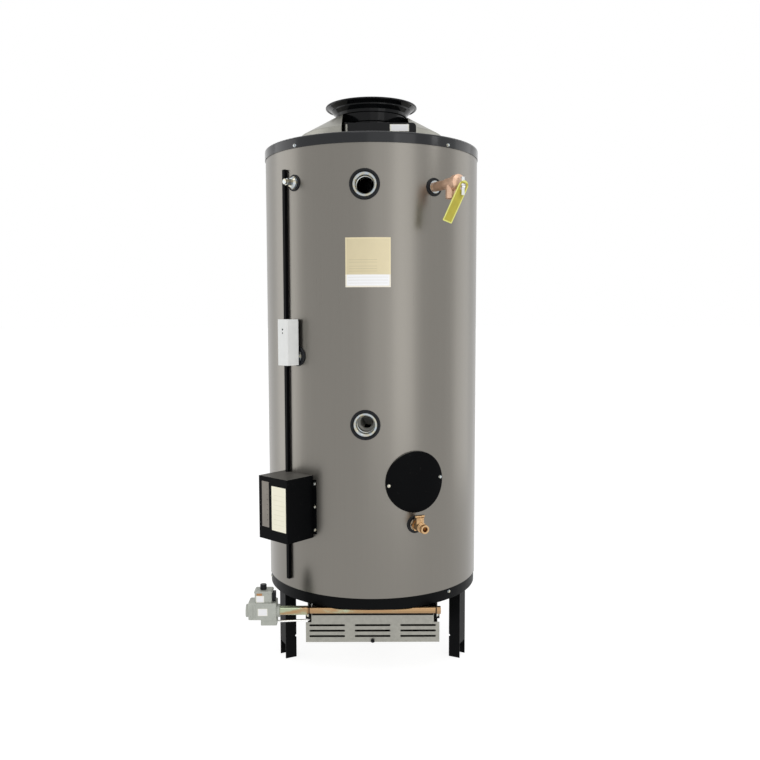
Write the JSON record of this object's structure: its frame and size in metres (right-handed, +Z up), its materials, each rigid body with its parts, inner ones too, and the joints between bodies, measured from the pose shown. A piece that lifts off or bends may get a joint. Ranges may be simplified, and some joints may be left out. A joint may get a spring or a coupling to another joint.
{
  "type": "tank water heater",
  "caption": "Upright gas storage water heater on legs: insulated tank with draft hood, side water ports, relief and drain valves, control box, gas valve and a hinged burner door.",
  "frame": {"origin": "point on the floor below the tank's axis", "axes": "+Z up along the tank's axis, -Y towards the front with the water ports and burner door, +X to the right seen from the front"},
  "size_m": [0.7478, 0.781, 1.823],
  "materials": {
    "jacket_paint": "satin grey enamel on rolled sheet",
    "black_enamel": "gloss black enamel",
    "galvanised": "galvanised sheet with a fine spangle",
    "black_plastic": "moulded black",
    "zinc_steel": "zinc plated",
    "dichromate": "yellow zinc dichromate",
    "tank_steel": "glass-lined steel",
    "gasket_rubber": "black sheet rubber",
    "anode_metal": "cast rod",
    "diffuser_plastic": "natural plastic",
    "foam": "insulation",
    "aquastat_paint": "light grey enamel",
    "switch_plastic": "moulded",
    "dial_plastic": "moulded, pale",
    "valve_casting": "grey die casting",
    "pilot_aluminium": "bright drawn tube",
    "bronze": "cast bronze",
    "bright_chrome": "bright plate",
    "tag_plastic": "yellow sheet",
    "drain_brass": "turned brass"
  },
  "bodies": {
    "heater": {"anode_rods": "anode_metal", "aquastat_cover": "aquastat_paint", "aquastat_switch": "switch_plastic", "aquastat_well": "zinc_steel", "base_pan": "black_enamel", "base_ring": "black_enamel", "burner_orifices": "drain_brass", "burner_tray": "galvanised", "burner_tubes": "tank_steel", "cleanout_cover": "black_enamel", "control_box_cover": "black_enamel", "control_module": "switch_plastic", "draft_hood": "black_enamel", "drain_body": "drain_brass", "drain_gland": "drain_brass", "flue_baffles": "tank_steel", "flue_collector": "galvanised", "flue_tubes": "tank_steel", "gas_valve_body": "valve_casting", "gas_valve_head": "valve_casting", "gas_valve_socket": "black_plastic", "handhole_bolts": "zinc_steel", "handhole_flange": "tank_steel", "handhole_gasket": "gasket_rubber", "handhole_plate": "tank_steel", "hood_plate": "black_enamel", "inlet_diffuser": "diffuser_plastic", "insulation": "foam", "jacket": "jacket_paint", "jacket_lid": "black_enamel", "left_leg": "black_enamel", "leg_bolts": "zinc_steel", "manifold_brackets": "black_enamel", "manifold_end_plug": "dichromate", "manifold_nipple": "dichromate", "manifold_pipe": "dichromate", "pilot_burner": "pilot_aluminium", "pilot_tube": "pilot_aluminium", "pipe_plug": "dichromate", "plug_bushing": "zinc_steel", "rear_leg": "black_enamel", "relief_body": "bronze", "relief_bonnet": "bronze", "right_leg": "black_enamel", "sheet_screws": "zinc_steel", "tank_shell": "tank_steel", "trim_rings": "black_plastic", "water_spuds": "zinc_steel", "wire_raceway": "black_enamel"},
    "relief_stem": {"relief_stem": "bright_chrome", "relief_pin": "zinc_steel"},
    "relief_lever": {"relief_lever": "bright_chrome"},
    "relief_tag": {"relief_tag": "tag_plastic"},
    "drain_handle": {"drain_cock": "drain_brass", "drain_handle": "drain_brass"},
    "burner_door": {"burner_door": "galvanised", "door_latch": "zinc_steel"},
    "gas_knob": {"gas_knob": "black_plastic"},
    "aquastat_dial": {"aquastat_dial": "dial_plastic"}
  },
  "joints": [
    {"name": "relief_stem_lift", "type": "slide", "parent": "heater", "child": "relief_stem", "axis": [0.5358, -0.8443, 0], "range_m": [0, 0.004]},
    {"name": "relief_lever_turn", "type": "hinge", "parent": "relief_stem", "child": "relief_lever", "pos_m": [0.26068, -0.41077, 1.518], "axis": [-0.8443, -0.5358, 0], "range_deg": [0, 80]},
    {"name": "relief_tag_swing", "type": "hinge", "parent": "relief_lever", "child": "relief_tag", "pos_m": [0.26309, -0.41457, 1.502], "axis": [-0.8443, -0.5358, 0], "range_deg": [-18, 8]},
    {"name": "drain_turn", "type": "hinge", "parent": "heater", "child": "drain_handle", "pos_m": [0.14441, -0.35743, 0.492], "axis": [0, 0, 1], "range_deg": [0, 90]},
    {"name": "burner_door_swing", "type": "hinge", "parent": "heater", "child": "burner_door", "pos_m": [0, -0.281, 0.19], "axis": [-1, 0, 0], "range_deg": [0, 75]},
    {"name": "gas_knob_turn", "type": "hinge", "parent": "heater", "child": "gas_knob", "pos_m": [-0.339, -0.32, 0.294], "axis": [0, 0, 1], "range_deg": [0, 90]},
    {"name": "aquastat_dial_turn", "type": "hinge", "parent": "heater", "child": "aquastat_dial", "pos_m": [-0.26932, -0.29912, 1.08], "axis": [-0.6691, -0.7431, 0], "range_deg": [-135, 135]}
  ],
  "couplings": [
    {"joint": "relief_lever_turn", "follows": "relief_stem_lift", "rad_per_m": 349.07}
  ]
}
